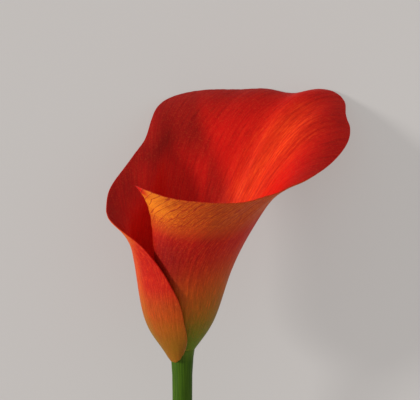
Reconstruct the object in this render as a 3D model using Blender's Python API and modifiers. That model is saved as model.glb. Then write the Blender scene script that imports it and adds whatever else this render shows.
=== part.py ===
"""An arum lily (calla), cut with its stem and lying on its back.

The flower is three organs: a stem, a spathe rolled into a trumpet, and the spadix inside it.
Each is laid out in the flower's own frame, where z runs up the trumpet's axis from the stem,
x goes across and y goes to the back. An empty then leans that frame back and sets it down,
so that the stem's cut end and the back of the rolled lip lie on the surface.

A "turn" is an angle in degrees round the axis, seen from the mouth: 0 is the front, 90 the
left, 180 the back and 270 the right. The spathe is one sheet. It starts as a flap in front,
goes round by the left, the back and the right, and ends in front again, tucked behind the flap.
"""
import math

import bpy
import numpy as np

MM = 0.001

# The pose
LEAN = 8.0                      # degrees between the trumpet's axis and the surface
SET_DOWN = (-20.6, 34.4, 36.72)  # moves the base of the trumpet to its place over the surface

# The spathe's free edge. Each station: turn, radius, height, direction of the lip above level
# in degrees, length of the lip's handle, and how far up its rib the sheet is kept. The flap in
# front is cut low and the tip stands out at 242.
LIP = (
    (-5, 34.0, 68.0, 45, 12, 0.43),
    (8, 34.0, 68.0, 45, 12, 0.48),
    (20, 34.0, 67.0, 45, 12, 0.55),
    (38, 34.0, 64.5, 45, 12, 0.67),
    (56, 33.5, 60.0, 45, 12, 0.83),
    (75, 32.0, 56.0, 42, 12, 0.96),
    (90, 31.5, 57.5, 38, 12, 1.0),
    (103, 32.0, 66.0, 35, 12, 1.0),
    (115, 31.0, 70.5, 32, 12, 1.0),
    (128, 31.0, 75.0, 32, 13, 1.0),
    (144, 32.0, 82.0, 32, 14, 1.0),
    (156, 36.5, 88.5, 28, 14, 1.0),
    (164, 43.5, 96.5, 24, 15, 1.0),
    (172, 49.0, 101.0, 20, 16, 1.0),
    (181, 51.0, 103.5, 18, 17, 1.0),
    (194, 53.0, 105.0, 16, 17, 1.0),
    (207, 57.5, 105.0, 12, 17, 1.0),
    (217, 63.5, 105.0, 4, 16, 1.0),
    (225, 71.0, 103.5, 0, 15, 1.0),
    (229, 77.0, 105.0, -8, 15, 1.0),
    (232, 82.5, 104.0, -16, 15, 1.0),
    (235.5, 85.0, 99.5, -24, 15, 1.0),
    (239, 82.5, 95.0, -28, 15, 1.0),
    (242, 82.5, 90.0, -26, 14, 1.0),
    (245, 78.0, 85.0, -20, 14, 1.0),
    (250, 69.0, 78.0, -10, 14, 1.0),
    (257, 59.0, 73.5, 0, 13, 1.0),
    (265, 51.5, 71.0, 14, 12, 1.0),
    (275, 45.5, 69.5, 26, 12, 1.0),
    (287, 41.5, 68.0, 36, 11, 1.0),
    (300, 38.0, 67.0, 42, 11, 1.0),
    (315, 35.5, 66.0, 46, 11, 1.0),
    (330, 34.0, 66.0, 50, 11, 1.0),
    (350, 31.5, 67.0, 52, 11, 1.0),
    (372, 30.5, 69.0, 50, 11, 1.0),
    (388, 30.0, 71.0, 45, 11, 1.0),
    (401, 29.0, 72.5, 35, 11, 1.0),
)
# The sheet's lower edge: turn, height, radius. The flap hangs below the rest in a rounded lobe.
HEM = ((-5, 1.6, 7.2), (2, -0.6, 7.1), (12, -3.2, 6.8), (25, -4.2, 6.5), (42, -4.0, 6.3),
       (60, -3.0, 6.3), (85, -1.6, 6.1), (120, -0.4, 5.7), (170, 0.5, 5.1), (401, 0.5, 5.1))
# Three rings steer the tube. Their heights, then their radii at a turn.
RING_Z = (3.0, 11.0, 33.0)
RINGS = ((-5, 9.0, 15.6, 18.0), (40, 9.0, 15.6, 18.0), (90, 9.2, 15.6, 18.0),
         (150, 8.6, 15.4, 18.6), (210, 7.8, 15.0, 19.2), (270, 7.4, 14.6, 19.6),
         (330, 6.6, 14.2, 18.6), (401, 6.4, 13.8, 17.4))
# The throat's ring lies this share of the way out and up from the tube to the lip: at a turn.
THROAT = ((-5, 0.5, 0.6), (90, 0.62, 0.6), (140, 0.5, 0.6), (200, 0.45, 0.55),
          (240, 0.42, 0.55), (290, 0.6, 0.6), (340, 0.6, 0.62), (401, 0.5, 0.6))
WRAP = 0.8                      # the flap stands out by this much, the tucked edge in
SWAY = 9.0                      # degrees the flap's edge swings round on its way up
SHEET = 1.0                     # thickness
COLUMNS, ROWS = 92, 24

# The spadix: height and radius of its outline, from its rounded end down to its foot
SPADIX = ((54.5, 0.0), (54.2, 0.8), (53.0, 1.7), (50.0, 2.6), (45.0, 3.2), (38.0, 3.6),
          (30.0, 3.9), (22.0, 4.0), (15.0, 3.7), (11.0, 3.2), (6.0, 2.9), (2.9, 2.6),
          (2.9, 0.0))
SPADIX_SIDES = 24

# The stem's line in the resting frame, from the flower down to the cut, and its radii
STEM_TOP = 2.5                  # it ends inside the foot of the trumpet
STEM_LINE = ((0.0, -40.0, -6.4), (-1.5, -85.0, -15.5), (-5.5, -130.0, -25.6), (-11.0, -180.0, -32.25))
STEM_RADII = ((0.0, 4.3), (0.06, 4.15), (0.5, 4.3), (1.0, 4.5))   # share of the way, radius
STEM_POINTS = 36

COLOURS = {"stem": (0.11, 0.2, 0.03), "spathe": (0.62, 0.06, 0.02), "spadix": (0.8, 0.5, 0.08)}


def spline(stations, x):
    """A smooth curve through the stations, as columns. The first number of each is where it is."""
    table = np.array(stations, float)
    xs, ys = table[:, 0], table[:, 1:]
    n, step = len(xs), np.diff(xs)
    a, b = np.eye(n), np.zeros((n, ys.shape[1]))
    for i in range(1, n - 1):
        a[i, i - 1], a[i, i], a[i, i + 1] = step[i - 1], 2 * (step[i - 1] + step[i]), step[i]
        b[i] = 6 * ((ys[i + 1] - ys[i]) / step[i] - (ys[i] - ys[i - 1]) / step[i - 1])
    m = np.linalg.solve(a, b)
    k = np.clip(np.searchsorted(xs, x) - 1, 0, n - 2)
    t, u, h = (x - xs[k])[:, None], (xs[k + 1] - x)[:, None], step[k][:, None]
    return ((m[k] * u**3 + m[k + 1] * t**3) / (6 * h)
            + (ys[k] / h - m[k] * h / 6) * u + (ys[k + 1] / h - m[k + 1] * h / 6) * t)


def ease(x, low, high):
    t = np.clip((x - low) / (high - low), 0, 1)
    return t * t * (3 - 2 * t)


def eased(stations, x):
    """Through the stations, level at each one, so that it never overshoots."""
    table = np.array(stations, float)
    xs, ys = table[:, 0], table[:, 1:]
    k = np.clip(np.searchsorted(xs, x) - 1, 0, len(xs) - 2)
    t = ((x - xs[k]) / (xs[k + 1] - xs[k]))[:, None]
    t = 0.5 * t + 0.5 * t * t * (3 - 2 * t)
    return ys[k] * (1 - t) + ys[k + 1] * t


def weights(count, s):
    """Shares of each control point on a clamped cubic B-spline rib, at s from 0 to 1."""
    knots = np.concatenate([np.zeros(3), np.linspace(0, 1, count - 2), np.ones(3)])
    s = np.clip(s, 0, 1 - 1e-9)
    w = [((knots[i] <= s) & (s < knots[i + 1])).astype(float) for i in range(len(knots) - 1)]
    for d in (1, 2, 3):
        new = []
        for i in range(len(knots) - 1 - d):
            v = 0 * s
            if knots[i + d] > knots[i]:
                v = v + (s - knots[i]) / (knots[i + d] - knots[i]) * w[i]
            if knots[i + d + 1] > knots[i + 1]:
                v = v + (knots[i + d + 1] - s) / (knots[i + d + 1] - knots[i + 1]) * w[i + 1]
            new.append(v)
        w = new
    return np.stack(w, -1)


def lip_handle(turn):
    """The control point before the free edge: it sets the way the lip runs out."""
    radius, height, way, length = spline(LIP, np.clip(turn, LIP[0][0], LIP[-1][0]))[:, :4].T
    way = np.radians(way)
    return np.stack([radius - length * np.cos(way), height - length * np.sin(way)], 1)


def spathe_points(turn, s):
    """Points of the sheet's middle, one rib at each turn, in millimetres in the flower's frame."""
    radius, height, trim = spline(LIP, turn)[:, [0, 1, 4]].T
    hem, rings, throat = eased(HEM, turn), eased(RINGS, turn), eased(THROAT, turn)
    wrap = WRAP * (1 - 2 * ease(turn, 60, 330))
    calm = sum(w * lip_handle(turn + o) for o, w in
               ((-18, 0.125), (-9, 0.25), (0, 0.25), (9, 0.25), (18, 0.125)))
    rib = np.zeros((len(turn), 7, 2))
    rib[:, 0] = hem[:, ::-1]
    for i, z in enumerate(RING_Z):
        rib[:, i + 1, 0], rib[:, i + 1, 1] = rings[:, i] + wrap, z
    rib[:, 4] = rib[:, 3] + throat * (calm - rib[:, 3])
    rib[:, 5] = 0.5 * lip_handle(turn) + 0.5 * calm
    rib[:, 6, 0], rib[:, 6, 1] = radius, height
    share = weights(7, np.minimum(trim, 1)[:, None] * s[None, :])
    out, up = np.einsum("tsk,tkc->cts", share, rib)
    sway = SWAY * ease(s, 0, 1)[None, :] * (1 - ease(turn, -5, 30))[:, None]
    angle = np.radians(turn[:, None] + sway)
    return np.stack([-np.sin(angle) * out, -np.cos(angle) * out, up], -1)


def add(name, data, collection, parent=None):
    obj = bpy.data.objects.new(name, data)
    collection.objects.link(obj)
    obj.parent = parent
    material = bpy.data.materials.new(name)
    material.use_nodes = True
    shader = material.node_tree.nodes["Principled BSDF"]
    shader.inputs["Base Color"].default_value = (*COLOURS[name], 1)
    shader.inputs["Roughness"].default_value = 0.45
    data.materials.append(material)
    return obj


def spathe(collection, flower):
    """The sheet is a loft over ribs that all differ, and Solidify makes it a shell."""
    even = np.linspace(LIP[0][0], LIP[-1][0], 2000)
    edge = spathe_points(even, np.array([1.0]))[:, 0]
    # Ribs are spread by the length of the edge as well as by turn, so the tip gets its share.
    run = np.linalg.norm(np.diff(edge, axis=0), axis=1) + np.diff(even) * 0.6
    run = np.concatenate([[0], np.cumsum(run)])
    turn = np.interp(np.linspace(0, run[-1], COLUMNS), run, even)
    points = (spathe_points(turn, np.linspace(0, 1, ROWS)) * MM).reshape(-1, 3)
    faces = [(c * ROWS + r, (c + 1) * ROWS + r, (c + 1) * ROWS + r + 1, c * ROWS + r + 1)
             for c in range(COLUMNS - 1) for r in range(ROWS - 1)]
    mesh = bpy.data.meshes.new("spathe")
    mesh.from_pydata(points.tolist(), [], faces)
    mesh.shade_smooth()
    obj = add("spathe", mesh, collection, flower)
    shell = obj.modifiers.new("thickness", "SOLIDIFY")
    shell.thickness = SHEET * MM
    shell.offset = 0.0
    shell.use_even_offset = True


def spadix(collection, flower):
    """A turned body: the outline, from its end down to its foot, is spun round the axis."""
    outline = [(radius * MM, 0, z * MM) for z, radius in SPADIX]
    mesh = bpy.data.meshes.new("spadix")
    mesh.from_pydata(outline, [(i, i + 1) for i in range(len(outline) - 1)], [])
    obj = add("spadix", mesh, collection, flower)
    screw = obj.modifiers.new("turn", "SCREW")
    screw.steps = screw.render_steps = SPADIX_SIDES
    screw.use_merge_vertices = True
    screw.merge_threshold = 0.00005
    screw.use_smooth_shade = True


def stem(collection):
    """A round rod along a slack line, with a flat cut at its lower end."""
    lean = math.radians(LEAN)
    along = np.array([0, math.cos(lean), math.sin(lean)])
    way = np.array([STEM_TOP * along, -12 * along, *STEM_LINE])
    length = np.concatenate([[0], np.cumsum(np.linalg.norm(np.diff(way, axis=0), axis=1))])
    at = np.linspace(0, length[-1], STEM_POINTS)
    line = spline(np.column_stack([length, way]), at) * MM
    radii = spline(STEM_RADII, at / at[-1])[:, 0]
    curve = bpy.data.curves.new("stem", "CURVE")
    curve.dimensions = "3D"
    curve.bevel_depth = MM
    curve.bevel_resolution = 8
    curve.use_fill_caps = True
    rod = curve.splines.new("POLY")
    rod.points.add(STEM_POINTS - 1)
    for point, place, radius in zip(rod.points, line, radii):
        point.co = (*place, 1)
        point.radius = radius
    rod.use_smooth = True
    add("stem", curve, collection).location = [v * MM for v in SET_DOWN]


def main():
    for obj in list(bpy.data.objects):
        bpy.data.objects.remove(obj, do_unlink=True)
    collection = bpy.data.collections.new("arum_lily")
    bpy.context.scene.collection.children.link(collection)
    flower = bpy.data.objects.new("flower", None)
    flower.location = [v * MM for v in SET_DOWN]
    flower.rotation_euler = (math.radians(LEAN - 90), 0, 0)
    collection.objects.link(flower)
    stem(collection)
    spathe(collection, flower)
    spadix(collection, flower)


main()
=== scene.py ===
"""Looks of the cut arum lily: a fine spathe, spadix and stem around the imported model.

Lengths are in millimetres until a mesh is made. The flower's own frame has z up the axis of the
trumpet, x across and y to the back, and a "turn" is an angle in degrees round that axis: 0 is
the front, 90 the left, 180 the back and 270 the right. rest() sets that frame down as the
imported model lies.
"""
import math

import bpy
import numpy as np
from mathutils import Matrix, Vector


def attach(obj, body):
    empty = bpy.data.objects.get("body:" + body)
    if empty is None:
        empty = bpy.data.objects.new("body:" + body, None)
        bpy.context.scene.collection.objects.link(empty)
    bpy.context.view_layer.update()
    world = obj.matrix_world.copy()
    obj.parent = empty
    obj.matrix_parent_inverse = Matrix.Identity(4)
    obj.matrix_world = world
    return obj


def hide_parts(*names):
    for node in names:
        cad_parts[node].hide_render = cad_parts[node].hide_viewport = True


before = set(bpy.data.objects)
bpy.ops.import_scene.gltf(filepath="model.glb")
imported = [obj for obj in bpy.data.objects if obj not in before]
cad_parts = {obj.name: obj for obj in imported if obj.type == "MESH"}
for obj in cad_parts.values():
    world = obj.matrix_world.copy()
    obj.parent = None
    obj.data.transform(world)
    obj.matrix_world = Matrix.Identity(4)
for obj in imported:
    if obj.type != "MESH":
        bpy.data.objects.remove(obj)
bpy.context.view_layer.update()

MM = 0.001
LEAN = math.radians(8.0)                 # how far the trumpet's axis rises from level
SET_DOWN = np.array([-20.6, 34.4, 36.72])        # the flower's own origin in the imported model

# ------------------------------------------------------------------ the spathe's shape
# Turn, radius, height, way of the lip in degrees, length of its handle, share of the rib kept
LIP = (
    (-12, 34.0, 68.0, 45, 12, 0.09), (-9, 34.0, 68.0, 45, 12, 0.17), (-5, 34.0, 68.0, 45, 12, 0.235),
    (0, 34.0, 68.0, 45, 12, 0.33), (8, 34.0, 68.0, 45, 12, 0.42), (20, 34.0, 67.0, 45, 12, 0.52),
    (38, 34.0, 64.5, 45, 12, 0.67), (56, 33.5, 60.0, 45, 12, 0.83), (75, 32.0, 56.5, 42, 12, 0.96),
    (90, 31.8, 58.5, 38, 12, 1.0), (103, 32.0, 65.5, 35, 12, 1.0), (115, 31.2, 70.5, 32, 12, 1.0),
    (128, 31.0, 75.0, 32, 13, 1.0), (144, 32.0, 82.0, 32, 14, 1.0), (156, 36.5, 88.5, 28, 14, 1.0),
    (164, 43.5, 96.5, 24, 15, 1.0), (172, 49.0, 101.0, 20, 16, 1.0), (181, 51.0, 103.5, 18, 17, 1.0),
    (194, 53.0, 105.0, 16, 17, 1.0), (207, 57.5, 105.0, 12, 17, 1.0), (217, 63.5, 105.0, 4, 16, 1.0),
    (225, 71.0, 103.5, 0, 15, 1.0), (229, 77.0, 105.0, -8, 15, 1.0), (232, 82.5, 104.0, -16, 15, 1.0),
    (235.5, 85.0, 99.8, -24, 15, 1.0), (239, 82.1, 95.2, -28, 15, 1.0), (242, 81.2, 90.5, -26, 14, 1.0),
    (245, 78.9, 86.0, -20, 14, 1.0), (250, 70.2, 78.9, -10, 14, 1.0), (257, 59.0, 73.5, 0, 13, 1.0),
    (265, 51.5, 71.0, 14, 12, 1.0), (275, 45.5, 69.5, 26, 12, 1.0), (287, 41.5, 68.0, 36, 11, 1.0),
    (300, 38.0, 67.0, 42, 11, 1.0), (315, 35.5, 66.0, 46, 11, 1.0), (330, 34.0, 66.0, 50, 11, 1.0),
    (350, 31.5, 67.0, 52, 11, 1.0), (372, 30.5, 69.0, 50, 11, 1.0), (388, 30.0, 71.0, 45, 11, 1.0),
    (401, 29.0, 72.5, 35, 11, 1.0),
)
HEM = ((-12, 2.8, 7.5), (-8, 0.9, 7.3), (0, -1.2, 7.1), (10, -3.2, 6.8), (24, -4.3, 6.5),
       (42, -4.2, 6.3), (60, -3.0, 6.3), (85, -1.4, 6.1), (120, -0.4, 5.7), (170, 0.5, 5.1),
       (401, 0.5, 5.1))
RING_Z = (3.0, 11.0, 33.0)
RINGS = ((-12, 9.0, 15.6, 18.0), (40, 9.0, 15.6, 18.0), (90, 9.2, 15.6, 18.0),
         (150, 8.6, 15.4, 18.6), (210, 7.8, 15.0, 19.2), (270, 7.4, 14.6, 19.6),
         (330, 6.6, 14.2, 18.6), (401, 6.4, 13.8, 17.4))
THROAT = ((-12, 0.5, 0.6), (90, 0.62, 0.6), (140, 0.5, 0.6), (200, 0.45, 0.55),
          (240, 0.42, 0.55), (290, 0.6, 0.6), (340, 0.6, 0.62), (401, 0.5, 0.6))
NEIGHBOURS = ((-18, 0.125), (-9, 0.25), (0, 0.25), (9, 0.25), (18, 0.125))
WRAP = 0.8                      # the outer layer stands this far out of the rings, the tucked one in
TIP = 242.0                     # the turn of the spathe's tip, where the veins bend to
CUSP_WIDTH, CUSP_LENGTH = 1.1, 0.35      # half width in degrees and length of its recurved point
LIP_WAVE = 0.12                 # how far the free lip waves out and up
VEIN_RELIEF, SOFT_RELIEF = 0.05, 0.12    # height of the fine veins and of the broad unevenness
SHEET = (1.0, 0.55)             # thickness in the tube and at the lip
EDGE_COLUMNS = 5                # the free sides thin out over this many ribs
COLUMNS, ROWS, ROUND = 400, 100, 5       # ribs, rows up a rib, and rows that round the lip and hem

# ------------------------------------------------------------------ small helpers


def spline(stations, x):
    """A smooth curve through the stations, as columns. The first number of each is where it is."""
    table = np.array(stations, float)
    xs, ys = table[:, 0], table[:, 1:]
    n, step = len(xs), np.diff(xs)
    a, b = np.eye(n), np.zeros((n, ys.shape[1]))
    for i in range(1, n - 1):
        a[i, i - 1], a[i, i], a[i, i + 1] = step[i - 1], 2 * (step[i - 1] + step[i]), step[i]
        b[i] = 6 * ((ys[i + 1] - ys[i]) / step[i] - (ys[i] - ys[i - 1]) / step[i - 1])
    m = np.linalg.solve(a, b)
    k = np.clip(np.searchsorted(xs, x) - 1, 0, n - 2)
    t, u, h = (x - xs[k])[:, None], (xs[k + 1] - x)[:, None], step[k][:, None]
    return ((m[k] * u**3 + m[k + 1] * t**3) / (6 * h)
            + (ys[k] / h - m[k] * h / 6) * u + (ys[k + 1] / h - m[k + 1] * h / 6) * t)


def ease(x, low, high):
    """From 0 at low to 1 at high, level at both ends."""
    t = np.clip((x - low) / (high - low), 0, 1)
    return t * t * (3 - 2 * t)


def eased(stations, x):
    """Values between the stations, half straight and half eased, so that they never overshoot."""
    table = np.array(stations, float)
    xs, ys = table[:, 0], table[:, 1:]
    k = np.clip(np.searchsorted(xs, x) - 1, 0, len(xs) - 2)
    t = ((x - xs[k]) / (xs[k + 1] - xs[k]))[:, None]
    t = 0.5 * t + 0.5 * t * t * (3 - 2 * t)
    return ys[k] * (1 - t) + ys[k + 1] * t


def weights(count, s):
    """Shares of each control point on a clamped cubic B-spline rib, at s from 0 to 1."""
    knots = np.concatenate([np.zeros(3), np.linspace(0, 1, count - 2), np.ones(3)])
    s = np.clip(s, 0, 1 - 1e-9)
    w = [((knots[i] <= s) & (s < knots[i + 1])).astype(float) for i in range(len(knots) - 1)]
    for d in (1, 2, 3):
        new = []
        for i in range(len(knots) - 1 - d):
            v = 0 * s
            if knots[i + d] > knots[i]:
                v = v + (s - knots[i]) / (knots[i + d] - knots[i]) * w[i]
            if knots[i + d + 1] > knots[i + 1]:
                v = v + (knots[i + d + 1] - s) / (knots[i + d + 1] - knots[i + 1]) * w[i + 1]
            new.append(v)
        w = new
    return np.stack(w, -1)


def rest(points):
    """From the flower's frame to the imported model's, still in millimetres."""
    x, y, z = points[..., 0], points[..., 1], points[..., 2]
    flat = [x, z * math.cos(LEAN) + y * math.sin(LEAN), z * math.sin(LEAN) - y * math.cos(LEAN)]
    return np.stack(flat, -1) + SET_DOWN


def waves(x, seed, count=6, low=0.5, high=3.0):
    """Smooth, repeatable unevenness of about unit height."""
    draw = np.random.default_rng(seed)
    total = 0 * x
    for _ in range(count):
        total = total + np.sin(x * draw.uniform(low, high) + draw.uniform(0, 6.3))
    return total / math.sqrt(count)


def srgb(red, green, blue):
    """A colour from 0 to 255 as the linear values that materials take."""
    c = np.array([red, green, blue]) / 255
    return np.where(c <= 0.04045, c / 12.92, ((c + 0.055) / 1.055) ** 2.4)


def piece(name, points, faces, node):
    """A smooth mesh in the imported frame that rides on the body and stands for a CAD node."""
    mesh = bpy.data.meshes.new(name)
    mesh.from_pydata((np.asarray(points) * MM).tolist(), [], faces)
    mesh.update()
    mesh.shade_smooth()
    obj = bpy.data.objects.new(name, mesh)
    bpy.context.scene.collection.objects.link(obj)
    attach(obj, "root")
    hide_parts(node)
    return obj


def store(obj, name, values):
    """Keeps a value for each point on the mesh, for the material to read."""
    values = np.asarray(values, np.float32)
    if values.ndim == 1:
        obj.data.attributes.new(name, "FLOAT", "POINT").data.foreach_set("value", values)
    else:
        rgba = np.concatenate([values, np.ones((len(values), 1), np.float32)], 1)
        layer = obj.data.color_attributes.new(name, "FLOAT_COLOR", "POINT")
        layer.data.foreach_set("color", rgba.ravel())


# ------------------------------------------------------------------ the spathe


def lip_handle(turn):
    """Where the last control point before the lip lies, as radius and height."""
    radius, height, way, length = spline(LIP, np.clip(turn, LIP[0][0], LIP[-1][0]))[:, :4].T
    way = np.radians(way)
    return np.stack([radius - length * np.cos(way), height - length * np.sin(way)], 1)


def sheet_middle(turn, s):
    """The middle of the sheet in the flower's frame, and how far up its full rib each point is."""
    radius, height, trim = spline(LIP, turn)[:, [0, 1, 4]].T
    hem, rings, throat = eased(HEM, turn), eased(RINGS, turn), eased(THROAT, turn)
    wrap = WRAP * (1 - 2 * ease(turn, 60, 330))
    # Lower down, a rib follows its neighbours' lips as much as its own.
    calm = sum(share * lip_handle(turn + away) for away, share in NEIGHBOURS)
    rib = np.zeros((len(turn), 7, 2))
    rib[:, 0] = hem[:, ::-1]
    for i, z in enumerate(RING_Z):
        rib[:, i + 1, 0], rib[:, i + 1, 1] = rings[:, i] + wrap, z
    rib[:, 4] = rib[:, 3] + throat * (calm - rib[:, 3])
    rib[:, 5] = 0.5 * lip_handle(turn) + 0.5 * calm
    rib[:, 6, 0], rib[:, 6, 1] = radius, height
    rise = np.minimum(trim, 1)[:, None] * s[None, :]
    out, up = np.einsum("tsk,tkc->cts", weights(7, rise), rib)
    # The lip waves a little, and ends in a small recurved point at the tip.
    free = ease(rise, 0.8, 1) * (trim > 0.98)[:, None]
    out = out + LIP_WAVE * free * waves(turn / 22, 3)[:, None]
    up = up + LIP_WAVE * free * waves(turn / 26, 4)[:, None]
    cusp = np.exp(-((turn - TIP) / CUSP_WIDTH) ** 2)[:, None] * ease(rise, 0.93, 1) ** 2
    out, up = out + CUSP_LENGTH * cusp, up - 0.4 * CUSP_LENGTH * cusp
    angle = np.radians(turn)[:, None]
    return np.stack([-np.sin(angle) * out, -np.cos(angle) * out, up], -1), rise


def spread_columns():
    """Turns of the ribs, closer together where the free edge is long."""
    even = np.linspace(LIP[0][0], LIP[-1][0], 4000)
    edge = sheet_middle(even, np.array([1.0]))[0][:, 0]
    run = np.linalg.norm(np.diff(edge, axis=0), axis=1) + np.diff(even) * 0.6
    run = np.concatenate([[0], np.cumsum(run)])
    return np.interp(np.linspace(0, run[-1], COLUMNS), run, even)


def vein_coordinate(turn, rise):
    """Runs across the veins: they leave the foot upright and bend towards the tip near the lip."""
    return turn + 62 * np.tanh((turn - TIP) / 40) * rise ** 4


# ------------------------------------------------------------------ the spathe's colours
INNER = srgb(214, 14, 7)
# painted shade of the inside, for the shadow at its left and along the lip
INNER_SHADE = srgb(150, 7, 4)
GLOW = srgb(255, 84, 22)
OUTER_RED = srgb(182, 16, 6)
# mostly painted shadow of the flap on the side tucked under it, partly a deeper red
FLAP_SHADOW_RED = srgb(134, 6, 4)
GOLD = srgb(236, 128, 22)
ORANGE = srgb(208, 82, 16)
OLIVE = srgb(134, 98, 13)
GREEN = srgb(88, 112, 10)
FAN_TURN, FAN_WIDTH = TIP - 13, 16       # the glowing fan of streaks below the tip
# The left of the inside has a painted shadow, the shadow of the left lip, up to an edge that slants: its
# turn at one height, and the slant.
SHADOW_TURN, SHADOW_HEIGHT, SHADOW_SLANT = 186, 99, 0.97
BACK_FROM = 150                          # beyond this turn the golden band is full and has veins


def mix(a, b, t):
    """From colour a to colour b, point by point."""
    t = np.asarray(t)[..., None]
    return a * (1 - t) + b * t


def inside_looks(turn, rise, z):
    """Crimson, with painted shade at the left and along the lip. Returns the tint and the share of
    streaks.
    """
    away = (vein_coordinate(turn, rise) - FAN_TURN) / FAN_WIDTH
    fan = np.exp(-away ** 2) * ease(z, 40, 66) * (1 - ease(rise, 0.84, 0.97))
    # painted shadow of the left lip on the left of the inside, with a soft slanting edge
    edge = SHADOW_TURN + SHADOW_SLANT * (SHADOW_HEIGHT - z)
    left = (1 - ease(turn - edge, -8, 8)) * ease(turn, 120, 170)
    left = left * np.maximum(0.3 + 0.7 * ease(z, 72, 88), 0.75 * ease(turn, 196, 204))
    # painted shade along the lip, where the sheet turns away from the light
    lip_shade = (0.9 - 0.4 * ease(turn, 212, 228)) * ease(rise, 0.82, 1.0)
    tint = mix(INNER, INNER_SHADE, np.clip(0.9 * left + lip_shade, 0, 1))
    return mix(tint, GLOW, 0.3 * fan), 0.08 + 0.8 * fan


def outside_looks(turn, rise, z):
    """Green foot, red middle, golden band, with painted shadow and light. Returns the tint and the shares
    of streaks and veins.
    """
    foot = 1 - ease(z + 8 * np.cos(np.radians(turn - 70)), 6, 46)
    green = 1 - ease(z, 1, 20)
    band = ease(rise, 0.74, 0.93) * (1 - 0.55 * ease(turn, 250, 300) * (1 - ease(turn, 340, 390)))
    flap = 1 - ease(turn, 60, 110)
    # share towards the flap's left edge, where the orange is painted light that grazes and shines through
    # the edge
    side = ease(turn, 44, 78)
    middle = flap * (1 - side)
    heart = flap * (1 - ease(turn, 46, 72)) * ease(z, 6, 18) * (1 - ease(z, 40, 54))
    # mostly painted shadow that the flap casts near its edge on the tucked side
    flap_shadow = ease(turn, 330, 372) * ease(z, 10, 24) * (1 - ease(z, 40, 60))
    # orange on the flap, most of it painted light towards its left edge
    tint = mix(np.broadcast_to(OUTER_RED, z.shape + (3,)), ORANGE, flap * (0.05 + 0.8 * side))
    tint = mix(tint, FLAP_SHADOW_RED, 0.9 * flap_shadow)
    tint = mix(tint, GOLD, np.where(turn > BACK_FROM, band, 0.25 * band))
    tint = mix(tint, ORANGE, 0.8 * foot * (1 - green))
    tint = mix(tint, OLIVE, foot ** 1.5 * (1 - 0.35 * middle))
    tint = mix(tint, OUTER_RED, 0.85 * heart)
    tint = mix(tint, OLIVE, 0.35 * flap * ease(z, 7, 13) * (1 - ease(z, 18, 30)))
    tint = mix(tint, GREEN, green * (1 - 0.75 * flap))
    # The free corner of the tucked side is as red as the inside.
    tint = mix(tint, INNER, ease(rise, 0.94, 0.98) * ease(turn, 384, 396))
    streak = 0.5 * (1 - band) * (1 - green) * (1 - 0.8 * flap_shadow) * (1 - 0.2 * middle)
    return tint, streak, band * (turn > BACK_FROM)


def spathe_looks(turn, rise, z, outside):
    """Ground colour, and how much orange streak and dark vein the material lays over it."""
    inner, inner_streak = inside_looks(turn, rise, z)
    outer, outer_streak, vein = outside_looks(turn, rise, z)
    return mix(inner, outer, outside), np.where(outside > 0.5, outer_streak, inner_streak), outside * vein


def spathe_sheet():
    """The middle of the sheet with its relief, the rise, and the ways across and along it."""
    turn = spread_columns()
    s = np.linspace(0, 1, ROWS)
    s = 0.25 * s + 0.75 * (1 - (1 - s) ** 1.4)           # rows lie closer together near the lip
    middle, rise = sheet_middle(turn, s)
    across, along = np.gradient(middle, axis=0), np.gradient(middle, axis=1)
    normal = np.cross(along, across)
    normal /= np.linalg.norm(normal, axis=-1, keepdims=True)
    along /= np.linalg.norm(along, axis=-1, keepdims=True)
    radial = np.stack([-np.sin(np.radians(turn)), -np.cos(np.radians(turn)), 0 * turn], -1)
    if (normal[:, ROWS // 3] * radial).sum() < 0:
        normal = -normal
    grain = vein_coordinate(turn[:, None], rise)
    relief = VEIN_RELIEF * waves(grain * 0.9, 11, 8, 0.6, 1.9) * ease(rise, 0.05, 0.25)
    relief = relief + SOFT_RELIEF * waves(grain / 14, 12) * ease(rise, 0.3, 0.8)
    return turn, rise, middle + normal * relief[..., None], normal, along


def sheet_faces(size):
    """Quads round each rib and on to the next, and a cap over both free sides."""
    faces = [(c * size + i, c * size + (i + 1) % size, (c + 1) * size + (i + 1) % size, (c + 1) * size + i)
             for c in range(COLUMNS - 1) for i in range(size)]
    foot = 2 * ROWS + ROUND - 1                          # the outside's lowest row
    caps = [(r, r + 1, foot - r - 1, foot - r) for r in range(ROWS - 1)]
    caps += [tuple((start + k) % size for k in range(ROUND + 2)) for start in (ROWS - 1, foot)]
    faces += [tuple(reversed(cap)) for cap in caps]
    faces += [tuple((COLUMNS - 1) * size + k for k in cap) for cap in caps]
    return faces


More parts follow.
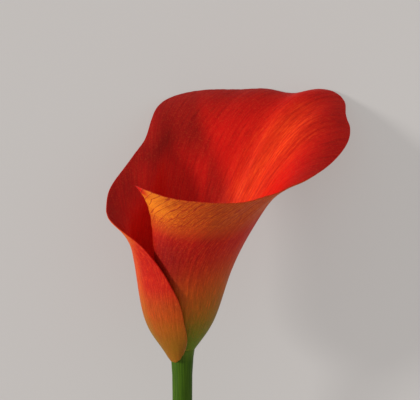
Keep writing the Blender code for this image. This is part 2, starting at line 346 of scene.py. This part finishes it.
def make_spathe():
    """A closed sheet: up the inside, over the rounded lip, down the outside, round the hem."""
    turn, rise, middle, normal, along = spathe_sheet()
    column = np.arange(COLUMNS)
    inset = np.clip(np.minimum(column, COLUMNS - 1 - column) / EDGE_COLUMNS, 0, 1)
    half = 0.5 * (SHEET[0] + (SHEET[1] - SHEET[0]) * ease(rise, 0.3, 1.0))
    half = half * (0.3 + 0.7 * inset ** 0.5)[:, None]
    # Each step round the section: its row, how far out and how far along it stands from the middle.
    bend = np.radians(np.linspace(-60, 60, ROUND))
    section = [(r, -1.0, 0.0) for r in range(ROWS)]
    section += [(ROWS - 1, math.sin(a), math.cos(a)) for a in bend]
    section += [(r, 1.0, 0.0) for r in reversed(range(ROWS))]
    section += [(0, math.sin(a), -math.cos(a)) for a in reversed(bend)]
    loops = [middle[:, r] + (normal[:, r] * out + along[:, r] * ahead) * half[:, r, None]
             for r, out, ahead in section]
    points = np.stack(loops, 1)
    rows = [r for r, _, _ in section]
    obj = piece("spathe_petal", rest(points.reshape(-1, 3)), sheet_faces(len(section)), "spathe")
    turn, rise, z = np.repeat(turn, len(section)), rise[:, rows].ravel(), middle[:, rows, 2].ravel()
    outside = np.tile([0.5 + out / 2 for _, out, _ in section], COLUMNS)
    tint, streak, vein = spathe_looks(turn, rise, z, outside)
    store(obj, "tint", tint)
    store(obj, "streak", streak)
    store(obj, "vein", vein)
    store(obj, "across", vein_coordinate(turn, rise) / 10)
    store(obj, "along", rise * 10)
    store(obj, "outside", outside)
    return obj


# ------------------------------------------------------------------ the spadix
SPADIX = ((2.9, 2.4), (6.0, 2.7), (11.0, 2.9), (15.0, 3.3), (22.0, 3.5), (30.0, 3.4), (38.0, 3.1),
          (45.0, 2.7), (50.0, 2.1), (53.0, 1.3), (54.3, 0.15))
SPADIX_SIDES, SPADIX_RINGS = 32, 60
BEADS, BEAD_SIZE, BEAD_SIDES = 760, 0.66, 7
BEAD_FROM = 9.0                  # the lowest florets' height
BEAD_RINGS = ((1.0, -0.1), (0.85, 0.38), (0.45, 0.6))    # width and height of a floret's rings
BEAD_CROWN = 0.66                # height of its middle
GOLDEN_TURN = 2.399963           # radians from one floret to the next


def add_bead(points, faces, shade, centre, out, size):
    """One floret: a low dome that faces out."""
    side = np.cross(out, (0, 0, 1))
    side /= np.linalg.norm(side)
    up = np.cross(side, out)
    base, n = len(points), BEAD_SIDES
    for ring, (wide, high) in enumerate(BEAD_RINGS):
        for k in range(n):
            b = 2 * math.pi * (k + 0.5 * ring) / n
            points.append(centre + size * (wide * (math.cos(b) * side + math.sin(b) * up) + high * out))
            # painted shade: darker towards the floret's foot, lighter at its crown
            shade.append(0.35 + 0.3 * ring)
    points.append(centre + size * BEAD_CROWN * out)
    shade.append(1.0)
    for low, high in ((base, base + n), (base + n, base + 2 * n)):
        faces += [(low + k, low + (k + 1) % n, high + (k + 1) % n, high + k) for k in range(n)]
    faces += [(base + 2 * n + k, base + 2 * n + (k + 1) % n, base + 3 * n) for k in range(n)]
    faces.append(tuple(base + k for k in reversed(range(n))))


def make_spadix():
    """A tapering finger covered in small round florets, set in a spiral."""
    heights, radii = np.array(SPADIX).T
    z = np.linspace(heights[0], heights[-1], SPADIX_RINGS)
    n = SPADIX_SIDES
    angle = np.linspace(0, 2 * math.pi, n, endpoint=False)
    points = [np.array([r * math.cos(a), r * math.sin(a), h])
              for h, r in zip(z, np.interp(z, heights, radii)) for a in angle]
    faces = [(i * n + k, i * n + (k + 1) % n, (i + 1) * n + (k + 1) % n, (i + 1) * n + k)
             for i in range(SPADIX_RINGS - 1) for k in range(n)]
    faces += [tuple(reversed(range(n))), tuple(range((SPADIX_RINGS - 1) * n, SPADIX_RINGS * n))]
    # the rod between the florets is in full painted shade
    shade = [0.0] * len(points)
    # Florets are even by area: each takes its share of the surface from foot to end.
    steps = np.linspace(BEAD_FROM, heights[-1] - 0.2, 600)
    area = np.cumsum(np.interp(steps, heights, radii) + 0.3)
    draw = np.random.default_rng(7)
    for i in range(BEADS):
        h = np.interp((i + 0.5) / BEADS * area[-1], area, steps)
        r = float(np.interp(h, heights, radii))
        a = i * GOLDEN_TURN + draw.uniform(-0.05, 0.05)
        out = np.array([math.cos(a), math.sin(a), 0.12 + 0.9 * ease(h, 50, 54.3)])
        size = BEAD_SIZE * (0.85 + 0.3 * draw.random()) * (1 - 0.25 * ease(h, 48, 54))
        centre = np.array([r * math.cos(a), r * math.sin(a), h])
        add_bead(points, faces, shade, centre, out / np.linalg.norm(out), size)
    points = np.array(points)
    obj = piece("spadix_florets", rest(points), faces, "spadix")
    store(obj, "floret_shade", shade)
    store(obj, "height", points[:, 2] / 54)
    return obj


# ------------------------------------------------------------------ the stem
STEM_TOP = 2.0
STEM_LINE = ((0.0, -40.0, -6.4), (-1.5, -85.0, -15.5), (-5.5, -130.0, -25.6), (-11.0, -180.0, -32.25))
STEM_RADII = ((0.0, 4.0), (0.012, 5.25), (0.03, 4.75), (0.07, 4.25), (0.12, 4.15), (0.5, 4.3),
              (0.99, 4.5), (1.0, 4.5))
STEM_SIDES, STEM_RINGS = 72, 200
CUT_RINGS, CUT_EDGE, CUT_DIP = (4.1, 3.4, 2.5, 1.5, 0.6), 4.3, 0.10      # the cut is a little hollow
CUT_BEVEL = 0.22


def make_stem():
    """A round, faintly ribbed rod that swells under the flower and ends in a flat cut."""
    along = np.array([0, math.cos(LEAN), math.sin(LEAN)])
    way = np.array([STEM_TOP * along, -12 * along, *STEM_LINE])
    length = np.concatenate([[0], np.cumsum(np.linalg.norm(np.diff(way, axis=0), axis=1))])
    share = np.linspace(0, 1, STEM_RINGS) ** 1.25
    at = share * length[-1]
    line = spline(np.column_stack([length, way]), at)
    table = np.array(STEM_RADII)
    radii = np.interp(share, table[:, 0], table[:, 1])
    angle = np.linspace(0, 2 * math.pi, STEM_SIDES, endpoint=False)
    rib = 0.045 * waves(np.cos(angle) * 9 + np.sin(angle) * 7, 21, 7, 0.6, 1.8)
    points, tags = [], []

    def ring(centre, direction, radius, relief, at_mm, cut):
        """Adds one ring of points, with as much of the rod's ribs as relief says."""
        side = np.cross(direction, (0, 0, 1))
        side /= np.linalg.norm(side)
        up = np.cross(side, direction)
        for k, a in enumerate(angle):
            r = radius + relief * (rib[k] + 0.05 * math.sin(at_mm / 17 + 3 * math.sin(a)))
            points.append(centre + r * (math.cos(a) * side + math.sin(a) * up))
            tags.append((at_mm, a, radius, cut))

    for i, centre in enumerate(line):
        direction = line[min(i + 1, STEM_RINGS - 1)] - line[max(i - 1, 0)]
        direction /= np.linalg.norm(direction)
        bevel = CUT_BEVEL if i == STEM_RINGS - 1 else 0
        ring(centre, direction, radii[i] - bevel, 1, at[i], 0)
    for radius in CUT_RINGS:
        dip = CUT_DIP * (1 - (radius / CUT_EDGE) ** 4)
        ring(line[-1] - direction * dip, direction, radius, 0.3, at[-1], 1)
    rings, n = len(points) // STEM_SIDES, STEM_SIDES
    faces = [(i * n + k, (i + 1) * n + k, (i + 1) * n + (k + 1) % n, i * n + (k + 1) % n)
             for i in range(rings - 1) for k in range(n)]
    faces += [tuple(range(n)), tuple(range((rings - 1) * n, rings * n))[::-1]]
    obj = piece("stem_rod", np.array(points) + SET_DOWN, faces, "stem")
    tags = np.array(tags)
    store(obj, "down", tags[:, 0] / length[-1])
    store(obj, "round", np.cos(tags[:, 1]) * 3)
    store(obj, "round2", np.sin(tags[:, 1]) * 3)
    store(obj, "cut", tags[:, 3])
    store(obj, "core", tags[:, 2] / radii[-1])
    return obj


# ------------------------------------------------------------------ materials


class Nodes:
    """A short way to write a node tree."""

    def __init__(self, name):
        self.material = bpy.data.materials.new(name)
        self.material.use_nodes = True
        self.tree = self.material.node_tree
        self.shader = self.tree.nodes["Principled BSDF"]

    def node(self, kind, settings=None, **inputs):
        """A node whose inputs are given by name, or as i0, i1 and so on by their order."""
        made = self.tree.nodes.new(kind)
        for key, value in (settings or {}).items():
            setattr(made, key, value)
        for key, value in inputs.items():
            socket = made.inputs[int(key[1:])] if key[0] == "i" and key[1:].isdigit() else made.inputs[key]
            self.put(socket, value)
        return made

    def put(self, socket, value):
        if isinstance(value, bpy.types.NodeSocket):
            self.tree.links.new(value, socket)
        else:
            socket.default_value = value

    def read(self, name, output="Fac"):
        return self.node("ShaderNodeAttribute", {"attribute_name": name}).outputs[output]

    def math(self, operation, a, b=0.0):
        return self.node("ShaderNodeMath", {"operation": operation}, i0=a, i1=b).outputs[0]

    def times(self, a, b):
        return self.math("MULTIPLY", a, b)

    def vector(self, x, y, z=0.0):
        return self.node("ShaderNodeCombineXYZ", i0=x, i1=y, i2=z).outputs[0]

    def noise(self, vector, scale, detail=3.0):
        return self.node("ShaderNodeTexNoise", Vector=vector, Scale=scale, Detail=detail,
                         Roughness=0.55).outputs["Fac"]

    def ramp(self, value, low, high):
        return self.node("ShaderNodeMapRange", {"interpolation_type": "SMOOTHSTEP"}, i0=value, i1=low,
                         i2=high).outputs[0]

    def blend(self, share, a, b, way="MIX"):
        made = self.node("ShaderNodeMix", {"data_type": "RGBA", "blend_type": way})
        self.put(made.inputs["Factor"], share)
        colours = [s for s in made.inputs if s.type == "RGBA"]
        for socket, value in zip(colours, (a, b)):
            self.put(socket, value if isinstance(value, bpy.types.NodeSocket) else (*value, 1.0))
        return next(s for s in made.outputs if s.type == "RGBA")

    def set(self, **values):
        for key, value in values.items():
            self.put(self.shader.inputs[key.replace("_", " ")], value)

    def bump(self, height, strength, distance):
        self.set(Normal=self.node("ShaderNodeBump", Height=height, Strength=strength,
                                  Distance=distance).outputs[0])


STREAK_DARK = srgb(168, 9, 5)
VEIN = srgb(158, 22, 10)
CELL = srgb(255, 120, 60)


def petal_material():
    m = Nodes("petal")
    across, along, outside = m.read("across"), m.read("along"), m.read("outside")
    tint, streak, vein = m.read("tint", "Color"), m.read("streak"), m.read("vein")
    # long streaks between the veins, fine ones that break them up, and the cells of the skin
    long = m.noise(m.vector(m.times(across, 7.0), m.times(along, 1.5), outside), 1.0, 4.0)
    fine = m.noise(m.vector(m.times(across, 16.0), m.times(along, 7.0), outside), 1.0, 3.0)
    cells = m.noise(m.node("ShaderNodeTexCoord").outputs["Object"], 1500.0, 2.0)
    broken = m.math("ADD", m.times(long, 0.6), m.times(fine, 0.4))
    patch = m.noise(m.vector(m.times(across, 1.5), m.times(along, 1.2), outside), 1.0, 2.0)
    lit = m.times(m.times(m.ramp(broken, 0.48, 0.64), streak), m.ramp(patch, 0.3, 0.55))
    colour = m.blend(m.times(lit, 0.75), tint, GLOW)
    colour = m.blend(m.times(m.ramp(broken, 0.52, 0.36), 0.35), colour, STREAK_DARK, "MULTIPLY")
    # dark red veins over the golden band under the lip
    wander = m.times(m.noise(m.vector(across, m.times(along, 0.7)), 1.2), 1.4)
    line = m.math("SINE", m.times(m.math("ADD", across, wander), 8.5))
    thin = m.times(m.ramp(line, 0.84, 0.98), m.ramp(vein, 0.05, 0.5))
    # and red dapples where the gold gives way to red
    dapple = m.noise(m.vector(m.times(across, 14.0), m.times(along, 6.0)), 1.0, 3.0)
    fading = m.times(m.times(vein, m.math("SUBTRACT", 1.0, vein)), 2.6)
    flecks = m.times(m.ramp(dapple, 0.42, 0.58), fading)
    colour = m.blend(m.math("MAXIMUM", m.times(thin, 0.85), flecks), colour, VEIN)
    colour = m.blend(m.times(m.ramp(cells, 0.45, 0.8), 0.1), colour, CELL)
    roughness = m.node("ShaderNodeMapRange", i0=fine, i3=0.44, i4=0.62).outputs[0]
    m.set(Base_Color=colour, Roughness=roughness, Specular_IOR_Level=0.11)
    m.set(Subsurface_Weight=0.18, Subsurface_Radius=(1.0, 0.25, 0.12), Subsurface_Scale=0.0012)
    m.bump(m.math("ADD", m.times(broken, 0.7), m.times(cells, 0.3)), 0.35, 0.00025)
    return m.material


STEM_DARK, STEM_LIGHT = srgb(44, 72, 5), srgb(66, 96, 12)
STEM_FLECK, STEM_NECK = srgb(84, 114, 22), srgb(96, 112, 30)
PITH, PITH_FLECK, RIND = srgb(186, 200, 134), srgb(120, 146, 72), srgb(92, 124, 44)


def stem_material():
    m = Nodes("stem_skin")
    down, cut, core = m.read("down"), m.read("cut"), m.read("core")
    place = m.vector(m.read("round"), m.read("round2"), m.times(down, 3.0))
    long, fine = m.noise(place, 2.4, 4.0), m.noise(place, 9.0, 3.0)
    colour = m.blend(m.ramp(long, 0.35, 0.7), STEM_DARK, STEM_LIGHT)
    colour = m.blend(m.times(m.ramp(fine, 0.5, 0.75), 0.35), colour, STEM_FLECK)
    colour = m.blend(m.times(m.ramp(down, 0.045, 0.0), 0.7), colour, STEM_NECK)
    pith = m.blend(m.ramp(m.noise(place, 14.0, 2.0), 0.55, 0.7), PITH, PITH_FLECK)
    pith = m.blend(m.ramp(core, 0.72, 0.95), pith, RIND)
    m.set(Base_Color=m.blend(cut, colour, pith), Roughness=0.5, Specular_IOR_Level=0.1)
    m.set(Subsurface_Weight=0.1, Subsurface_Radius=(0.5, 0.8, 0.2), Subsurface_Scale=0.001)
    m.bump(m.math("ADD", long, m.times(fine, 0.4)), 0.3, 0.0002)
    return m.material


# the florets' colour in painted shade, and in the light
FLORET_SHADE, FLORET = srgb(150, 84, 20), srgb(236, 176, 52)
POLLEN, SPADIX_FOOT = srgb(252, 214, 110), srgb(150, 150, 60)


def spadix_material():
    m = Nodes("pollen_gold")
    floret_shade, height = m.read("floret_shade"), m.read("height")
    speck = m.noise(m.node("ShaderNodeTexCoord").outputs["Object"], 1800.0, 3.0)
    # painted shade between the florets, brighter on their crowns
    colour = m.blend(floret_shade, FLORET_SHADE, FLORET)
    colour = m.blend(m.times(m.ramp(speck, 0.5, 0.72), 0.5), colour, POLLEN)
    colour = m.blend(m.times(m.ramp(height, 0.22, 0.05), 0.8), colour, SPADIX_FOOT)
    m.set(Base_Color=colour, Roughness=0.6, Specular_IOR_Level=0.3)
    m.set(Subsurface_Weight=0.15, Subsurface_Radius=(1.0, 0.6, 0.2), Subsurface_Scale=0.0006)
    m.bump(speck, 0.4, 0.0001)
    return m.material


# ------------------------------------------------------------------ the studio
FLOOR = srgb(140, 137, 135)
FLOOR_GLOW, GLOW_STRENGTH = srgb(189, 185, 182), 0.6     # a light table keeps the shadow soft
FLOOR_HALF = 3.0                         # metres
KEY_FROM, KEY_POWER, KEY_SOFTNESS = (-0.9, 0.12, 0.4), 2.5, 10.0
SKY = 0.56
AIM = (SET_DOWN + np.array([11.76, 63.0, 10.0])) * MM     # the point that the camera looks at
DISTANCE = 1.19                          # metres from the camera to the point it looks at
VIEW_WIDTH = 0.1764                      # metres across the view there
SENSOR = 36.0


def studio():
    """A plain floor, one soft key light, an even sky and a camera that looks straight down."""
    scene = bpy.context.scene
    mesh = bpy.data.meshes.new("floor")
    corners = [(x * FLOOR_HALF, y * FLOOR_HALF, 0) for x, y in ((-1, -1), (1, -1), (1, 1), (-1, 1))]
    mesh.from_pydata(corners, [], [(0, 1, 2, 3)])
    floor = bpy.data.objects.new("floor", mesh)
    scene.collection.objects.link(floor)
    m = Nodes("paper")
    m.set(Base_Color=(*FLOOR, 1.0), Roughness=0.9, Specular_IOR_Level=0.1)
    m.set(Emission_Color=(*FLOOR_GLOW, 1.0), Emission_Strength=GLOW_STRENGTH)
    mesh.materials.append(m.material)
    key = bpy.data.lights.new("key", "SUN")
    key.energy, key.angle, key.color = KEY_POWER, math.radians(KEY_SOFTNESS), (1.0, 0.99, 0.97)
    lamp = bpy.data.objects.new("key", key)
    lamp.rotation_euler = Vector(KEY_FROM).to_track_quat("Z", "Y").to_euler()
    scene.collection.objects.link(lamp)
    world = bpy.data.worlds.new("studio")
    world.use_nodes = True
    sky = world.node_tree.nodes["Background"]
    sky.inputs["Color"].default_value = (1.0, 0.985, 0.975, 1.0)
    sky.inputs["Strength"].default_value = SKY
    scene.world = world
    data = bpy.data.cameras.new("camera")
    data.sensor_width = SENSOR
    data.lens = SENSOR * DISTANCE / VIEW_WIDTH
    data.clip_start, data.clip_end = 0.01, 20.0
    camera = bpy.data.objects.new("camera", data)
    camera.location = AIM + np.array([0, 0, DISTANCE])
    scene.collection.objects.link(camera)
    scene.camera = camera
    scene.view_settings.view_transform = "Standard"


make_spathe().data.materials.append(petal_material())
make_spadix().data.materials.append(spadix_material())
make_stem().data.materials.append(stem_material())
studio()
